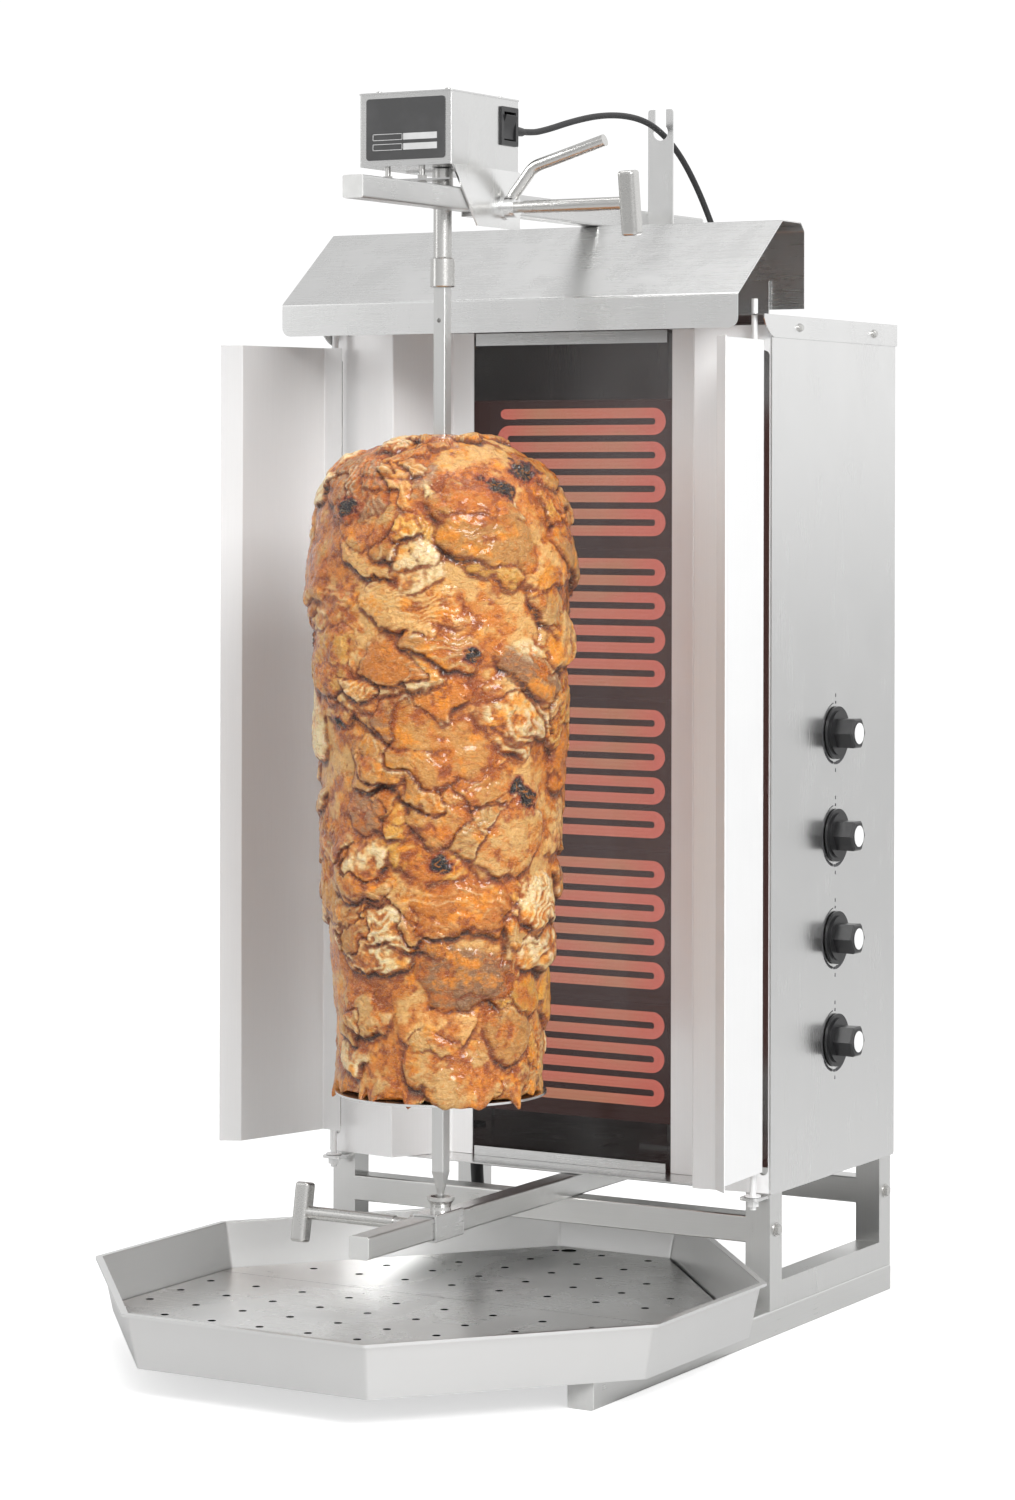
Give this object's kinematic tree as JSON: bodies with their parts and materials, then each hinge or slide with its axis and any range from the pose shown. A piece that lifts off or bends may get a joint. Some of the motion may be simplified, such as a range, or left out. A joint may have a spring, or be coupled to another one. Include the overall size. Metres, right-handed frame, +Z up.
{
  "type": "vertical rotisserie broiler",
  "caption": "Vertical rotisserie broiler: an electric radiant cabinet on a tube frame with hinged side shields, a driven spit of stacked meat, a hood and a perforated drip tray.",
  "frame": {"origin": "centre of the footprint on the surface the skids stand on, the cord's coil left out", "axes": "+Z up, -Y towards the meat and the cook, +X towards the side with the control knobs"},
  "size_m": [0.5864, 0.8552, 1.146],
  "materials": {
    "frame_steel": "ground",
    "panel_steel": "brushed",
    "mirror_steel": "bright annealed",
    "bright_steel": "turned",
    "cap_plastic": "matte",
    "heater_glass": "polished glass ceramic",
    "insulation": "fired",
    "glowing_element": "hot",
    "black_plastic": "satin",
    "plate_black": "printed",
    "motor_casting": "cast",
    "cord_rubber": "matte",
    "plug_plastic": "satin",
    "meat": "roasted"
  },
  "bodies": {
    "cabinet": {"skids": "frame_steel", "tube_end_caps": "cap_plastic", "side_frames": "frame_steel", "crossbars": "frame_steel", "frame_bolts": "bright_steel", "lower_arm": "frame_steel", "upper_arm": "frame_steel", "rear_mast": "frame_steel", "left_side_panel": "panel_steel", "right_side_panel": "panel_steel", "back_panel": "panel_steel", "bottom_panel": "panel_steel", "top_lid": "panel_steel", "lid_screws": "bright_steel", "left_reflector": "mirror_steel", "right_reflector": "mirror_steel", "glass_ledge": "panel_steel", "glass_pane": "heater_glass", "heater_pans": "insulation", "heating_elements": "glowing_element", "regulators": "black_plastic", "hood": "panel_steel", "hood_brackets": "panel_steel", "cable_fork": "panel_steel", "hinge_brackets": "panel_steel", "lid_cord_gland": "cord_rubber", "motor_cord": "cord_rubber", "mains_gland": "black_plastic", "mains_cord": "cord_rubber", "mains_coil": "cord_rubber", "mains_plug": "plug_plastic"},
    "motor_carriage": {"motor_box": "panel_steel", "motor_box_lid": "panel_steel", "motor_lid_screws": "bright_steel", "name_plate": "plate_black", "gear_motor": "motor_casting", "deflector_plate": "panel_steel", "deflector_studs": "bright_steel", "upper_saddle": "panel_steel", "carriage_handle": "bright_steel", "switch_bezel": "black_plastic", "motor_cord_gland": "cord_rubber"},
    "upper_screw": {"upper_clamp_screw": "bright_steel"},
    "rocker": {"switch_rocker": "black_plastic"},
    "drive": {"drive_tube": "bright_steel", "lock_collar": "bright_steel"},
    "spit_base": {"lower_saddle": "panel_steel", "bearing_cup": "bright_steel"},
    "lower_screw": {"lower_clamp_screw": "bright_steel"},
    "spit": {"spit_bar": "bright_steel", "meat_plate": "panel_steel", "meat_stack": "meat"},
    "left_wing": {"left_shield": "mirror_steel"},
    "right_wing": {"right_shield": "mirror_steel"},
    "tray": {"drip_tray": "panel_steel", "drip_grids": "panel_steel"},
    "knob_body_1": {"knob_1": "black_plastic"},
    "knob_body_2": {"knob_2": "black_plastic"},
    "knob_body_3": {"knob_3": "black_plastic"},
    "knob_body_4": {"knob_4": "black_plastic"}
  },
  "joints": [
    {"name": "spit_base_slide", "type": "slide", "parent": "cabinet", "child": "spit_base", "axis": [0, 1, 0], "range_m": [-0.07, 0.08]},
    {"name": "motor_carriage_slide", "type": "slide", "parent": "cabinet", "child": "motor_carriage", "axis": [0, 1, 0], "range_m": [-0.07, 0.08], "deforming": ["motor_cord"]},
    {"name": "spit_spin", "type": "hinge", "parent": "spit_base", "child": "spit", "pos_m": [0.026, -0.1051, 0.2], "axis": [0, 0, 1], "continuous": true},
    {"name": "drive_spin", "type": "hinge", "parent": "motor_carriage", "child": "drive", "pos_m": [0.026, -0.1051, 1], "axis": [0, 0, 1], "continuous": true},
    {"name": "upper_screw_turn", "type": "hinge", "parent": "motor_carriage", "child": "upper_screw", "pos_m": [0.106, -0.0511, 1.0345], "axis": [1, 0, 0], "range_deg": [0, 270]},
    {"name": "lower_screw_turn", "type": "hinge", "parent": "spit_base", "child": "lower_screw", "pos_m": [-0.044, -0.1211, 0.121], "axis": [-1, 0, 0], "range_deg": [0, 270]},
    {"name": "rocker_press", "type": "hinge", "parent": "motor_carriage", "child": "rocker", "pos_m": [0.057, -0.0451, 1.1085], "axis": [0, -1, 0], "range_deg": [0, 22]},
    {"name": "left_wing_hinge", "type": "hinge", "parent": "cabinet", "child": "left_wing", "pos_m": [-0.222, 0.1039, 0.5], "axis": [0, 0, -1], "range_deg": [-75, 45]},
    {"name": "right_wing_hinge", "type": "hinge", "parent": "cabinet", "child": "right_wing", "pos_m": [0.234, 0.1039, 0.5], "axis": [0, 0, 1], "range_deg": [-70, 50]},
    {"name": "tray_slide", "type": "slide", "parent": "cabinet", "child": "tray", "axis": [0, -1, 0], "range_m": [0, 0.3]},
    {"name": "knob_1_turn", "type": "hinge", "parent": "cabinet", "child": "knob_body_1", "pos_m": [0.251, 0.2524, 0.55], "axis": [-1, 0, 0], "range_deg": [0, 270]},
    {"name": "knob_2_turn", "type": "hinge", "parent": "cabinet", "child": "knob_body_2", "pos_m": [0.251, 0.2524, 0.453], "axis": [-1, 0, 0], "range_deg": [0, 270]},
    {"name": "knob_3_turn", "type": "hinge", "parent": "cabinet", "child": "knob_body_3", "pos_m": [0.251, 0.2524, 0.356], "axis": [-1, 0, 0], "range_deg": [0, 270]},
    {"name": "knob_4_turn", "type": "hinge", "parent": "cabinet", "child": "knob_body_4", "pos_m": [0.251, 0.2524, 0.259], "axis": [-1, 0, 0], "range_deg": [0, 270]}
  ],
  "couplings": [
    {"joint": "motor_carriage_slide", "follows": "spit_base_slide", "ratio": 1},
    {"joint": "drive_spin", "follows": "spit_spin", "ratio": 1}
  ]
}
